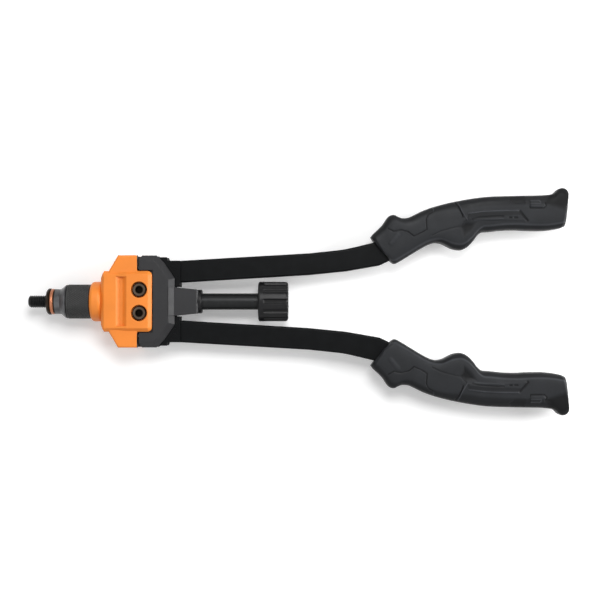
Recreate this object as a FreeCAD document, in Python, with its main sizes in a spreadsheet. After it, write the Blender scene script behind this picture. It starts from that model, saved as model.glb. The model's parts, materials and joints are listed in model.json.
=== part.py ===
import FreeCAD, Part
import os
import re
import Sketcher

# Long-arm hand riveter for threaded inserts, in millimetres.
#
# The tool line runs along X: the mandrel points to -X, the grips and the knob to +X, and the
# two arms lie each side of the line in the XY plane. Sizes are measured along the tool line
# from the anvil's face, with the arms closed. Every piece is then placed so that the origin is
# under the middle of the whole tool, on the surface that it lies on.
#
# Each arm turns on a screw close to the tool line. Its drive pin, outboard of that screw, runs
# in a cross slot of the traction yoke, so closing the arms draws the spindle and mandrel back.

SIZES = [
    # spindle and nose
    ("mandrel_reach", 18.4), ("mandrel_radius", 6.0), ("mandrel_tip", 2.0),
    ("mandrel_depth", 28.0), ("mandrel_socket", 18.0), ("mandrel_neck_radius", 5.0),
    ("mandrel_neck_front", 0.4), ("mandrel_neck_length", 1.6), ("spindle_lead", 5.0),
    ("bore_gap", 0.3), ("fit_gap", 0.05), ("face_gap", 0.2),
    ("anvil_radius", 12.7), ("anvil_face_length", 3.0), ("anvil_round", 1.2),
    ("ring_width", 4.1), ("ring_middle_radius", 10.5), ("anvil_rear_length", 1.0),
    ("anvil_shank_radius", 9.5), ("anvil_shank_length", 14.0),
    ("cone_radius", 12.1), ("cone_neck_length", 5.2), ("cone_flare_length", 4.8),
    ("cone_rim_radius", 16.2), ("cone_rim_length", 1.2), ("spigot_radius", 13.0),
    ("sleeve_radius", 16.5), ("sleeve_length", 22.9), ("sleeve_chamfer", 0.9),
    ("collar_radius", 19.2), ("collar_length", 11.6), ("collar_round", 3.6),
    ("spigot_depth", 5.2), ("front_bush_radius", 11.0), ("front_bush_length", 12.0),
    ("spindle_head_radius", 8.5), ("spindle_head_length", 39.0), ("rod_radius", 5.0),
    # head
    ("head_front", 54.0), ("block_half", 29.0), ("block_top", 18.8), ("lobe_top", 19.8),
    ("valley_top", 16.2), ("valley_half", 23.5), ("block_chamfer", 3.4), ("block_end", 68.6),
    ("valley_front", 71.8), ("valley_rear", 74.8),
    ("lobe_front", 78.8), ("lobe_rear", 102.6), ("lobe_under", 12.5), ("lobe_corner", 4.4),
    ("front_corner_x", 3.0), ("front_corner_y", 6.6),
    ("wing_half", 44.1), ("wing_front", 61.4), ("wing_shoulder", 70.3), ("wing_rear", 88.6),
    ("wing_top", 17.2), ("wing_round", 1.8), ("wing_root", 5.0),
    ("cavity_front", 72.8), ("cavity_half", 41.5), ("cavity_top", 9.8), ("mouth_front", 76.6),
    ("cover_front", 90.3), ("cover_half", 44.1), ("cover_top", 16.4), ("cover_shoulder", 106.4),
    ("cover_cut_x", 113.4), ("cover_cut_y", 37.3), ("cover_rear", 123.7), ("cover_rear_half", 22.1),
    ("cover_corner_x", 2.2), ("cover_corner_y", 4.0),
    ("cover_chamfer", 5.4), ("cover_hollow", 3.6), ("lobe_gap", 0.9), ("tongue_front", 80.4),
    ("tongue_half", 28.0),
    ("boss_rear", 146.2), ("boss_taper", 2.3), ("boss_wall", 1.9), ("boss_skin", 2.7),
    ("boss_root", 3.3), ("boss_chamfer", 1.6), ("band_height", 0.8), ("rear_bush_wall", 1.5), ("rear_bush_length", 15.0),
    ("bush_flange_step", 2.0), ("bush_flange_length", 3.2), ("bush_round", 0.8),
    # pivots
    ("pivot_x", 90.8), ("pivot_y", 11.1), ("screw_radius", 4.0), ("screw_head_radius", 6.5),
    ("screw_head_height", 5.0), ("screw_head_sink", 1.0), ("counterbore_radius", 7.75),
    ("socket_width", 6.0), ("socket_depth", 3.6), ("nut_width", 13.0), ("nut_height", 5.0),
    ("pivot_bush_radius", 5.5), ("eye_radius", 9.0),
    # traction
    ("arm_swing", 36.0), ("crank_radius", 16.0), ("drive_pin_radius", 4.0), ("slot_gap", 0.18),
    ("slot_wall", 4.0), ("yoke_half_height", 4.9), ("prong_inner", 18.2), ("prong_outer", 34.6),
    ("web_front", 108.8), ("web_rear", 118.8), ("hub_radius", 8.5), ("hub_front", 113.1),
    ("hub_rear", 121.3), ("yoke_bush_radius", 6.5), ("thrust_length", 2.5),
    # tube and knob
    ("tube_radius", 7.95), ("tube_inner_radius", 5.3), ("knob_front", 203.6), ("knob_length", 29.0),
    ("knob_radius", 19.25), ("knob_front_chamfer", 3.0), ("knob_rear_round", 2.6),
    ("knob_rim", 5.6), ("flute_count", 12), ("flute_radius", 2.1), ("flute_sink", 0.9),
    ("knob_nut_radius", 7.5), ("knob_nut_length", 5.0), ("knob_recess", 6.0),
    ("knob_mouth_gap", 2.0),
    # arms
    ("bar_half_height", 5.2), ("plate_thickness", 4.2), ("bar_front", 120.4), ("plate_rear", 128.6),
    ("bar_round", 1.8), ("rivet_radius", 3.0), ("bar_root_outer", 38.9), ("bar_root_inner", 18.2),
    ("bar_bend", 252.6), ("bar_bend_outer", 46.6), ("bar_bend_inner", 25.6), ("bend_round", 90.0),
    # grips
    ("grip_front", 311.7), ("grip_rear", 503.2), ("grip_half_height", 13.5),
    ("tang_end", 452.0), ("tang_gap", 0.1), ("tang_run_out", 20.0),
]

doc = FreeCAD.newDocument("hand_riveter")
sheet = doc.addObject("Spreadsheet::Sheet", "sizes")
for row, (alias, value) in enumerate(SIZES, start=1):
    sheet.set("A%d" % row, alias)
    sheet.set("B%d" % row, str(value))
    sheet.setAlias("B%d" % row, alias)
doc.recompute()

CELLS = {alias for alias, value in SIZES}
PARTS = []


def bind(formula):
    """Turn a formula in the sheet's own words into an expression on its cells."""
    return re.sub(r"[a-z][a-z_0-9]*", lambda m: ("sizes." if m[0] in CELLS else "") + m[0], formula)


def number(formula):
    """The value that a formula has now."""
    value = sheet.evalExpression(bind(formula))
    return float(getattr(value, "Value", value))


def origin_plane(body, role):
    """The body's own XY, XZ or YZ plane."""
    for feature in body.Origin.OriginFeatures:
        if feature.Role == role:
            return feature
    raise ValueError(role)


def new_body(label):
    """An empty body, placed so that the whole tool stands on the origin's plane."""
    body = doc.addObject("PartDesign::Body", label)
    body.Label = label
    body.setExpression("Placement.Base.x", bind("(mandrel_reach - grip_rear) / 2"))
    body.setExpression("Placement.Base.z", bind("lobe_top"))
    PARTS.append(body)
    return body


def new_sketch(body, role, offset="0"):
    """A sketch on one of the body's planes, moved along the plane's normal by a formula."""
    sketch = body.newObject("Sketcher::SketchObject", body.Name + "_sketch")
    sketch.AttachmentSupport = (origin_plane(body, role), "")
    sketch.MapMode = "FlatFace"
    sketch.setExpression("AttachmentOffset.Base.z", bind(offset))
    return sketch


def constrain(sketch, kind, formula, *where):
    """Add a dimension to a sketch and bind it to a formula."""
    index = sketch.addConstraint(Sketcher.Constraint(kind, *where, number(formula)))
    sketch.setExpression("Constraints[%d]" % index, bind(formula))


def polygon(sketch, points):
    """A closed outline through points whose coordinates are formulas."""
    first = sketch.GeometryCount
    corners = [FreeCAD.Vector(number(x), number(y), 0) for x, y in points]
    count = len(points)
    for i in range(count):
        sketch.addGeometry(Part.LineSegment(corners[i], corners[(i + 1) % count]), False)
    for i in range(count):
        following = first + (i + 1) % count
        sketch.addConstraint(Sketcher.Constraint("Coincident", first + i, 2, following, 1))
    for i, (x, y) in enumerate(points):
        constrain(sketch, "DistanceX", x, -1, 1, first + i, 1)
        constrain(sketch, "DistanceY", y, -1, 1, first + i, 1)


def circle(sketch, x, y, radius):
    """A circle whose centre and radius are formulas."""
    centre = FreeCAD.Vector(number(x), number(y), 0)
    index = sketch.addGeometry(Part.Circle(centre, FreeCAD.Vector(0, 0, 1), number(radius)), False)
    constrain(sketch, "DistanceX", x, -1, 1, index, 3)
    constrain(sketch, "DistanceY", y, -1, 1, index, 3)
    constrain(sketch, "Radius", radius, index)


def rectangle(x_low, x_high, y_low, y_high):
    """The four corners of a rectangle given by formulas."""
    return [(x_low, y_low), (x_high, y_low), (x_high, y_high), (x_low, y_high)]


def hexagon(x, y, width):
    """The corners of a hexagon of a width across flats."""
    corners = []
    for turn in range(6):
        across = "%s / 2 / cos(30 deg)" % width
        corners.append(("%s + %s * cos(%d deg)" % (x, across, 60 * turn + 30),
                        "%s + %s * sin(%d deg)" % (y, across, 60 * turn + 30)))
    return corners


def turned(body, profile, cut=False):
    """Turn a closed profile of (station, radius) formulas about the tool line."""
    sketch = new_sketch(body, "XY_Plane")
    polygon(sketch, profile)
    kind = "PartDesign::Groove" if cut else "PartDesign::Revolution"
    feature = body.newObject(kind, body.Name + "_turned")
    feature.Profile = sketch
    feature.ReferenceAxis = (sketch, ["H_Axis"])
    feature.Angle = 360
    doc.recompute()
    return feature


def raised(body, low, high, outlines=(), circles=(), role="XY_Plane", cut=False):
    """Pad, or cut away, outlines and circles between two heights over a plane of the body."""
    sketch = new_sketch(body, role, low)
    for outline in outlines:
        polygon(sketch, outline)
    for x, y, radius in circles:
        circle(sketch, x, y, radius)
    feature = body.newObject("PartDesign::Pocket" if cut else "PartDesign::Pad", body.Name + "_raised")
    feature.Profile = sketch
    feature.Reversed = cut
    feature.setExpression("Length", bind("(%s) - (%s)" % (high, low)))
    doc.recompute()
    return feature


def edges_where(feature, test):
    """Names of the feature's edges that pass a test."""
    edges = feature.Shape.Edges
    return ["Edge%d" % (i + 1) for i, edge in enumerate(edges) if test(edge)]


def dress(body, feature, kind, formula, test):
    """Fillet or chamfer the feature's edges that pass a test."""
    finish = body.newObject("PartDesign::" + kind, body.Name + "_" + kind)
    finish.Base = (feature, edges_where(feature, test))
    finish.setExpression("Radius" if kind == "Fillet" else "Size", bind(formula))
    doc.recompute()
    return finish


def flat_at(height, inside=None):
    """A test for edges that lie flat at a height, within a box of the plan if one is given."""
    level = number(height)

    def test(edge):
        box = edge.BoundBox
        if abs(box.ZMin - level) > 0.01 or abs(box.ZMax - level) > 0.01:
            return False
        if inside is None:
            return True
        x_low, x_high, y_low, y_high = [number(side) for side in inside]
        return x_low < box.Center.x < x_high and y_low < box.Center.y < y_high

    return test


def upright_at(corners):
    """A test for upright edges that stand on one of the corners of a plan."""
    places = [(number(x), number(y)) for x, y in corners]

    def test(edge):
        box = edge.BoundBox
        if max(box.XLength, box.YLength) > 0.01:
            return False
        return any(abs(box.Center.x - x) < 0.05 and abs(box.Center.y - y) < 0.05 for x, y in places)

    return test


def side_profile(half_width, least_height, rear):
    """A test for the edges in the two side planes that are flat, further than a height from the
    tool line, and ahead of a station."""
    side, least, last = number(half_width), number(least_height), number(rear) + 0.1

    def test(edge):
        box = edge.BoundBox
        in_side = box.YLength < 0.01 and abs(abs(box.Center.y) - side) < 0.01
        return in_side and min(abs(box.ZMin), abs(box.ZMax)) > least and box.XMax < last

    return test


def ring(label, start, length, outer, inner):
    """A plain ring or bush on the tool line."""
    body = new_body(label)
    end = "%s + %s" % (start, length)
    turned(body, [(start, inner), (end, inner), (end, outer), (start, outer)])
    return body


# --- Spindle: turns with the knob and slides with the traction yoke -------------------------
SPINDLE_HEAD_FRONT = "mandrel_depth + spindle_lead"
SPINDLE_HEAD_REAR = "mandrel_depth + spindle_lead + spindle_head_length"
MANDREL_REAR = "mandrel_depth + mandrel_socket"
THRUST_RADIUS = "tube_radius + fit_gap"
THRUST_FRONT = "hub_front - face_gap - thrust_length"
THRUST_REAR = "hub_rear + face_gap"
TUBE_FRONT = "hub_rear + face_gap + thrust_length"
KNOB_REAR = "knob_front + knob_length"


def make_mandrel():
    """The threaded stud, at its major diameter, with a relief neck where it meets the anvil."""
    body = new_body("mandrel")
    neck_front = "-mandrel_neck_front"
    neck_rear = "mandrel_neck_length - mandrel_neck_front"
    turned(body, [("-mandrel_reach", "0"), (MANDREL_REAR, "0"), (MANDREL_REAR, "mandrel_radius"),
                  (neck_rear, "mandrel_radius"), (neck_rear, "mandrel_neck_radius"),
                  (neck_front, "mandrel_neck_radius"), (neck_front, "mandrel_radius"),
                  ("mandrel_tip - mandrel_reach", "mandrel_radius"),
                  ("-mandrel_reach", "mandrel_radius - mandrel_tip")])


def make_draw_rod():
    body = new_body("draw_rod")
    socket = "mandrel_radius + fit_gap"
    floor = "%s + face_gap" % MANDREL_REAR
    turned(body, [(SPINDLE_HEAD_FRONT, socket), (floor, socket), (floor, "0"),
                  ("%s - 1" % KNOB_REAR, "0"), ("%s - 1" % KNOB_REAR, "rod_radius"),
                  (SPINDLE_HEAD_REAR, "rod_radius"), (SPINDLE_HEAD_REAR, "spindle_head_radius"),
                  (SPINDLE_HEAD_FRONT, "spindle_head_radius")])


def make_knob():
    body = new_body("knob")
    bore = "rod_radius + fit_gap"
    recess = "%s - knob_recess" % KNOB_REAR
    mouth = "knob_nut_radius + knob_mouth_gap"
    turned(body, [("knob_front", bore), (recess, bore), (recess, mouth), (KNOB_REAR, mouth),
                  (KNOB_REAR, "knob_radius - knob_rear_round"),
                  ("%s - knob_rear_round" % KNOB_REAR, "knob_radius"),
                  ("knob_front + knob_front_chamfer", "knob_radius"),
                  ("knob_front", "knob_radius - knob_front_chamfer")])
    flute = new_sketch(body, "YZ_Plane", "knob_front + knob_rim")
    circle(flute, "0", "knob_radius + flute_radius - flute_sink", "flute_radius")
    pocket = body.newObject("PartDesign::Pocket", "knob_flute")
    pocket.Profile = flute
    pocket.Reversed = True
    pocket.setExpression("Length", bind("knob_length"))
    doc.recompute()
    pattern = body.newObject("PartDesign::PolarPattern", "knob_flutes")
    pattern.Originals = [pocket]
    pattern.Axis = (flute, ["N_Axis"])
    pattern.Angle = 360
    pattern.setExpression("Occurrences", bind("flute_count"))
    body.Tip = pattern
    doc.recompute()


make_mandrel()
make_draw_rod()
ring("front_thrust_ring", THRUST_FRONT, "thrust_length", THRUST_RADIUS, "rod_radius + fit_gap")
ring("rear_thrust_washer", THRUST_REAR, "thrust_length", THRUST_RADIUS, "rod_radius + fit_gap")
ring("draw_tube", TUBE_FRONT, "knob_front - (%s)" % TUBE_FRONT, "tube_radius", "tube_inner_radius")
make_knob()
ring("knob_nut", "%s - knob_recess" % KNOB_REAR, "knob_nut_length", "knob_nut_radius", "rod_radius + fit_gap")

# --- Nose ---------------------------------------------------------------------------------
ANVIL_REAR = "anvil_face_length + ring_width + anvil_rear_length"
CONE_RIM = "%s + cone_neck_length + cone_flare_length" % ANVIL_REAR
SLEEVE_FRONT = "%s + cone_rim_length + face_gap" % CONE_RIM
SLEEVE_REAR = "%s + sleeve_length" % SLEEVE_FRONT
SPIGOT_REAR = "head_front + spigot_depth"
BUSH_REAR = "head_front + spigot_depth + front_bush_length"


def make_anvil():
    body = new_body("anvil")
    bore = "mandrel_radius + bore_gap"
    groove = "ring_middle_radius - ring_width / 2 - fit_gap"
    ring_rear = "anvil_face_length + ring_width"
    shank_end = "%s + anvil_shank_length" % ANVIL_REAR
    turned(body, [("0", bore), (shank_end, bore), (shank_end, "anvil_shank_radius"),
                  (ANVIL_REAR, "anvil_shank_radius"), (ANVIL_REAR, "cone_radius"),
                  (ring_rear, "cone_radius"), (ring_rear, groove), ("anvil_face_length", groove),
                  ("anvil_face_length", "anvil_radius"), ("anvil_round", "anvil_radius"),
                  ("0", "anvil_radius - anvil_round")])


def make_anvil_ring():
    body = new_body("anvil_ring")
    sketch = new_sketch(body, "XY_Plane")
    circle(sketch, "anvil_face_length + ring_width / 2", "ring_middle_radius", "ring_width / 2 - fit_gap")
    feature = body.newObject("PartDesign::Revolution", "anvil_ring_turned")
    feature.Profile = sketch
    feature.ReferenceAxis = (sketch, ["H_Axis"])
    feature.Angle = 360
    doc.recompute()


def make_nose_cone():
    body = new_body("nose_cone")
    socket = "anvil_shank_radius + fit_gap"
    through = "spindle_head_radius + bore_gap"
    step = "%s + anvil_shank_length" % ANVIL_REAR
    neck = "%s + cone_neck_length" % ANVIL_REAR
    rim_rear = "%s + cone_rim_length" % CONE_RIM
    turned(body, [(ANVIL_REAR, socket), (step, socket), (step, through), (SPIGOT_REAR, through),
                  (SPIGOT_REAR, "spigot_radius"), (rim_rear, "spigot_radius"),
                  (rim_rear, "cone_rim_radius"), (CONE_RIM, "cone_rim_radius"),
                  (neck, "cone_radius"), (ANVIL_REAR, "cone_radius")])


def make_nose_sleeve():
    body = new_body("nose_sleeve")
    bore = "spigot_radius + fit_gap"
    rim = "sleeve_radius - sleeve_chamfer"
    turned(body, [(SLEEVE_FRONT, bore), (SLEEVE_REAR, bore), (SLEEVE_REAR, rim),
                  ("%s - sleeve_chamfer" % SLEEVE_REAR, "sleeve_radius"),
                  ("%s + sleeve_chamfer" % SLEEVE_FRONT, "sleeve_radius"), (SLEEVE_FRONT, rim)])


def make_nose_collar():
    body = new_body("nose_collar")
    bore = "spigot_radius + fit_gap"
    front = "head_front - collar_length"
    shape = turned(body, [(front, bore), ("head_front", bore), ("head_front", "collar_radius"),
                          (front, "collar_radius")])
    edge_radius = number("collar_radius")
    dress(body, shape, "Fillet", "collar_round",
          lambda edge: edge.Curve.TypeId == "Part::GeomCircle"
          and abs(edge.Curve.Radius - edge_radius) < 0.01)


make_anvil()
make_anvil_ring()
make_nose_cone()
make_nose_sleeve()
make_nose_collar()
ring("front_bush", SPIGOT_REAR, "front_bush_length", "front_bush_radius", "spindle_head_radius + fit_gap")

# --- Head ---------------------------------------------------------------------------------
REAR_BUSH = "(tube_radius + fit_gap + rear_bush_wall)"
BOSS_REAR_HALF = "(tube_radius + fit_gap + rear_bush_wall + boss_wall)"
BOSS_HALF = "(tube_radius + fit_gap + rear_bush_wall + boss_wall + boss_taper)"
HEAD_FLOOR = "lobe_top - screw_head_sink - screw_head_height"
BORE = "screw_radius + fit_gap"
PIVOTS = [("pivot_x", "pivot_y"), ("pivot_x", "-pivot_y")]


def sided(side, low, high):
    """Two heights, or the same two below the tool line for the lower side."""
    return (low, high) if side > 0 else ("-(%s)" % high, "-(%s)" % low)


def flipped(side, points):
    """Plan points, or the same points across the tool line for the lower arm."""
    return points if side > 0 else [(x, "-(%s)" % y) for x, y in points]


def make_front_housing():
    """The casting: a block at the nose, a lobe over the screws, and a lower wing each side."""
    body = new_body("front_housing")
    step = "tongue_front - face_gap"
    upper = [("cavity_front", "cavity_top"), (step, "cavity_top"), (step, "lobe_under"),
             ("lobe_rear", "lobe_under"), ("lobe_rear", "lobe_top"), ("lobe_front", "lobe_top"),
             ("block_end", "block_top"), ("head_front + front_corner_x", "block_top"),
             ("head_front", "block_top - front_corner_x")]
    lower = [(x, "-(%s)" % z) for x, z in reversed(upper)]
    block = raised(body, "-block_half", "block_half", [upper + lower], role="XZ_Plane")
    lobe_corners = [("lobe_rear", "block_half"), ("lobe_rear", "-block_half")]
    block = dress(body, block, "Fillet", "lobe_corner", upright_at(lobe_corners))
    block = dress(body, block, "Chamfer", "block_chamfer", side_profile("block_half", "block_top - 0.1",
                                                                       "block_end"))
    front = "head_front - 1"
    slant = [(front, "block_half + 1"), (front, "block_half - front_corner_y"),
             ("head_front", "block_half - front_corner_y"),
             ("head_front + front_corner_x", "block_half"),
             ("head_front + front_corner_x", "block_half + 1")]
    raised(body, "-lobe_top", "lobe_top", [slant, flipped(-1, slant)], cut=True)
    root_x = "wing_front - wing_root * (wing_shoulder - wing_front) / (wing_half - block_half)"
    half = [(root_x, "block_half - wing_root"), ("wing_shoulder", "wing_half"),
            ("wing_rear", "wing_half")]
    wings = raised(body, "-wing_top", "wing_top", [half + flipped(-1, half)[::-1]])
    for level in ("wing_top", "-wing_top"):
        for low, high in (("block_half + 0.1", "wing_half + 1"), ("-wing_half - 1", "-block_half - 0.1")):
            area = ("wing_front", "wing_rear - 0.5", low, high)
            wings = dress(body, wings, "Fillet", "wing_round", flat_at(level, area))
    for side in (1, -1):
        valley = [("block_end", "lobe_top + 1"), ("block_end", "block_top"),
                  ("valley_front", "valley_top"), ("valley_rear", "valley_top"),
                  ("lobe_front", "lobe_top"), ("lobe_front", "lobe_top + 1")]
        valley = [(x, z if side > 0 else "-(%s)" % z) for x, z in valley]
        raised(body, "-valley_half", "valley_half", [valley], role="XZ_Plane", cut=True)
    past = "lobe_rear + 1"
    raised(body, "-cavity_top", "cavity_top", [[
        ("cavity_front", "-cavity_half"), ("mouth_front", "-cavity_half"),
        ("mouth_front", "-wing_half - 1"), (past, "-wing_half - 1"), (past, "wing_half + 1"),
        ("mouth_front", "wing_half + 1"), ("mouth_front", "cavity_half"),
        ("cavity_front", "cavity_half")]], cut=True)
    raised(body, "-lobe_under", "lobe_under", [rectangle(
        step, past, "-tongue_half - face_gap", "tongue_half + face_gap")], cut=True)
    turned(body, [(front, "0"), (front, "spigot_radius + fit_gap"),
                  (SPIGOT_REAR, "spigot_radius + fit_gap"),
                  (SPIGOT_REAR, "front_bush_radius + fit_gap"),
                  ("cavity_front + 1", "front_bush_radius + fit_gap"), ("cavity_front + 1", "0")],
           cut=True)
    raised(body, "-lobe_top - 1", "lobe_top + 1", circles=[(x, y, BORE) for x, y in PIVOTS], cut=True)
    raised(body, HEAD_FLOOR, "lobe_top + 1",
           circles=[(x, y, "counterbore_radius") for x, y in PIVOTS], cut=True)
    raised(body, "-lobe_top - 1", "-(%s)" % HEAD_FLOOR,
           [hexagon(x, y, "(nut_width + face_gap)") for x, y in PIVOTS], cut=True)


def make_rear_cover(label, side):
    """Half of the rear cover, with half of the boss that holds the tube's bush."""
    body = new_body(label)
    half = [("cover_front", "cover_half - cover_corner_y"),
            ("cover_front + cover_corner_x", "cover_half"), ("cover_shoulder", "cover_half"),
            ("cover_cut_x", "cover_cut_y"), ("cover_rear", "cover_rear_half")]
    shell = raised(body, *sided(side, "cavity_top", "cover_top"), [half + flipped(-1, half)[::-1]])
    level = "cover_top" if side > 0 else "-cover_top"
    rim = ("cover_front + cover_corner_x", "cover_rear + 1", "-cover_half - 1", "cover_half + 1")
    dress(body, shell, "Chamfer", "cover_chamfer", flat_at(level, rim))
    raised(body, *sided(side, "lobe_under", "cover_top + 1"), [rectangle(
        "cover_front - 1", "lobe_rear + lobe_gap", "-block_half - lobe_gap",
        "block_half + lobe_gap")], cut=True)
    raised(body, *sided(side, "cavity_top", "lobe_under"), [rectangle(
        "tongue_front", "cover_front + 1", "-tongue_half", "tongue_half")])
    hollow = [("lobe_rear + 3", "cover_cut_y - 5"), ("cover_cut_x - 4", "cover_cut_y - 5"),
              ("cover_rear - 7", "cover_rear_half - 1")]
    raised(body, *sided(side, "cavity_top - 1", "cavity_top + cover_hollow"),
           [hollow + flipped(-1, hollow)[::-1]], cut=True)
    crest = "cover_rear - cover_chamfer - band_height"
    foot = "cover_top - cover_chamfer"
    band = [(crest, "cover_top"), ("%s + band_height" % crest, "cover_top + band_height / 2"),
            ("cover_rear + band_height", foot), ("cover_rear + band_height", "cavity_top + 1"),
            (crest, "cavity_top + 1")]
    band = [(x, z if side > 0 else "-(%s)" % z) for x, z in band]
    raised(body, "-" + BOSS_HALF, BOSS_HALF, [band], role="XZ_Plane")
    boss = [("cover_rear - boss_root", BOSS_HALF), ("cover_rear", BOSS_HALF),
            ("boss_rear", BOSS_REAR_HALF)]
    heights = sided(side, "0", REAR_BUSH + " + boss_skin")
    block = raised(body, *heights, [boss + flipped(-1, boss)[::-1]])
    end = ("boss_rear - 1", "boss_rear + 1", "-" + BOSS_HALF, BOSS_HALF)
    outermost = heights[1] if side > 0 else heights[0]
    dress(body, block, "Chamfer", "boss_chamfer", flat_at(outermost, end))
    room = THRUST_RADIUS + " + 1"
    seat = "boss_rear - rear_bush_length"
    turned(body, [("cover_rear - boss_root - 1", "0"), ("cover_rear - boss_root - 1", room),
                  (seat, room), (seat, REAR_BUSH + " + fit_gap"),
                  ("boss_rear + 1", REAR_BUSH + " + fit_gap"), ("boss_rear + 1", "0")], cut=True)
    raised(body, *sided(side, "cavity_top - 1", "lobe_under + 1"),
           circles=[(x, y, BORE) for x, y in PIVOTS], cut=True)


def make_rear_bush():
    body = new_body("rear_bush")
    bore = "tube_radius + fit_gap"
    seat = "boss_rear - rear_bush_length"
    end = "boss_rear + bush_flange_length"
    flange = REAR_BUSH + " + bush_flange_step"
    turned(body, [(seat, bore), (end, bore), (end, flange + " - bush_round"),
                  (end + " - bush_round", flange), ("boss_rear", flange),
                  ("boss_rear", REAR_BUSH), (seat, REAR_BUSH)])


def make_pivot_screws():
    body = new_body("pivot_screws")
    raised(body, "-(%s) - nut_height" % HEAD_FLOOR, HEAD_FLOOR,
           circles=[(x, y, "screw_radius") for x, y in PIVOTS])
    top = "%s + screw_head_height" % HEAD_FLOOR
    raised(body, HEAD_FLOOR, top, circles=[(x, y, "screw_head_radius") for x, y in PIVOTS])
    raised(body, "%s - socket_depth" % top, "%s + 1" % top,
           [hexagon(x, y, "socket_width") for x, y in PIVOTS], cut=True)


make_front_housing()
make_rear_cover("rear_cover_top", 1)
make_rear_cover("rear_cover_bottom", -1)
make_rear_bush()
make_pivot_screws()


def make_pivot_nuts():
    body = new_body("pivot_nuts")
    low = "-(%s) - nut_height" % HEAD_FLOOR
    raised(body, low, "-(%s)" % HEAD_FLOOR, [hexagon(x, y, "nut_width") for x, y in PIVOTS])
    raised(body, low + " - 1", "-(%s) + 1" % HEAD_FLOOR, circles=[(x, y, BORE) for x, y in PIVOTS],
           cut=True)


def make_pivot_bushes():
    body = new_body("pivot_bushes")
    raised(body, "-cavity_top", "cavity_top", circles=[(x, y, "pivot_bush_radius") for x, y in PIVOTS])
    raised(body, "-cavity_top - 1", "cavity_top + 1", circles=[(x, y, BORE) for x, y in PIVOTS], cut=True)


make_pivot_nuts()
make_pivot_bushes()

# --- Traction yoke: slides along the tool line ------------------------------------------------
PIN_X = "pivot_x + crank_radius * sin(arm_swing * 0.5 deg)"
PIN_Y = "pivot_y + crank_radius * cos(arm_swing * 0.5 deg)"
PIN_Y_FAR = "pivot_y + crank_radius"


def make_traction_yoke():
    body = new_body("traction_yoke")
    slot_front = "%s - drive_pin_radius - slot_gap" % PIN_X
    slot_rear = "%s + drive_pin_radius + slot_gap" % PIN_X
    nose = "%s - slot_wall" % slot_front
    half = [(nose, "prong_inner"), (nose, "prong_outer"), ("web_rear", "prong_outer")]
    web = [("web_rear", "-prong_outer"), (nose, "-prong_outer"), (nose, "-prong_inner"),
           ("web_front", "-prong_inner"), ("web_front", "prong_inner")]
    frame = raised(body, "-yoke_half_height", "yoke_half_height", [half + web])
    corners = [(nose, "prong_outer"), (nose, "-prong_outer"), ("web_rear", "prong_outer"),
               ("web_rear", "-prong_outer")]
    dress(body, frame, "Fillet", "bar_round", upright_at(corners))
    turned(body, [("hub_front", "0"), ("hub_rear", "0"), ("hub_rear", "hub_radius"),
                  ("hub_front", "hub_radius")])
    room = THRUST_RADIUS + " + 0.8"
    raised(body, "-yoke_half_height - 1", "yoke_half_height + 1",
           [rectangle("web_front - 1", "hub_front", "-(%s)" % room, room)], cut=True)
    for side in (1, -1):
        slot = rectangle(slot_front, slot_rear, "%s - drive_pin_radius - 0.6" % PIN_Y,
                         "%s + drive_pin_radius + 0.6" % PIN_Y_FAR)
        raised(body, "-yoke_half_height - 1", "yoke_half_height + 1", [flipped(side, slot)], cut=True)
    bore = "yoke_bush_radius + fit_gap"
    turned(body, [("web_front - 1", "0"), ("web_front - 1", bore), ("hub_rear + 1", bore),
                  ("hub_rear + 1", "0")], cut=True)


make_traction_yoke()
ring("yoke_bush", "hub_front", "hub_rear - hub_front", "yoke_bush_radius", "rod_radius + fit_gap")

# --- Arms -----------------------------------------------------------------------------------
PLATE_TOP = "bar_half_height + plate_thickness"
RIVETS = [("plate_rear - 5.4", "bar_root_inner + 5"), ("plate_rear - 5.4", "bar_root_outer - 5")]

# Corners of the fork plate, as steps from the pivot, the drive pin and the plate's rear end.
PLATE = [("pivot_x - 6.6", "pivot_y + 6.2"), (PIN_X + " - 8.6", PIN_Y + " + 3.4"),
         (PIN_X + " - 3.0", PIN_Y + " + 9.6"), ("pivot_x + 19", "bar_root_outer + 3.6"),
         ("pivot_x + 25.2", "bar_root_outer + 3.6"), ("pivot_x + 26.4", "bar_root_outer + 0.3"),
         ("plate_rear", "bar_root_outer + 0.3"), ("plate_rear", BOSS_HALF + " + 0.6"),
         ("pivot_x + 29.4", BOSS_HALF + " + 0.6"), ("pivot_x + 16", "pivot_y - 1.8"),
         ("pivot_x + 6", "pivot_y - 6.6")]

# The bar's outline beyond its bend, as steps from the grip's front end and the tool line.
BAR_OUTER = [("bar_bend + 34", "bar_bend_outer + 3.6"), ("grip_front + 6", "bar_bend_outer + 11.0"),
             ("grip_front + 34", "72"), ("tang_end - 52", "88"), ("tang_end", "93")]
BAR_INNER = [("tang_end", "79"), ("tang_end - 50", "74"), ("grip_front + 38", "53.5"),
             ("grip_front + 22", "41"), ("grip_front + 9", "34.8"),
             ("bar_bend + 36", "bar_bend_inner + 3.6")]

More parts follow.
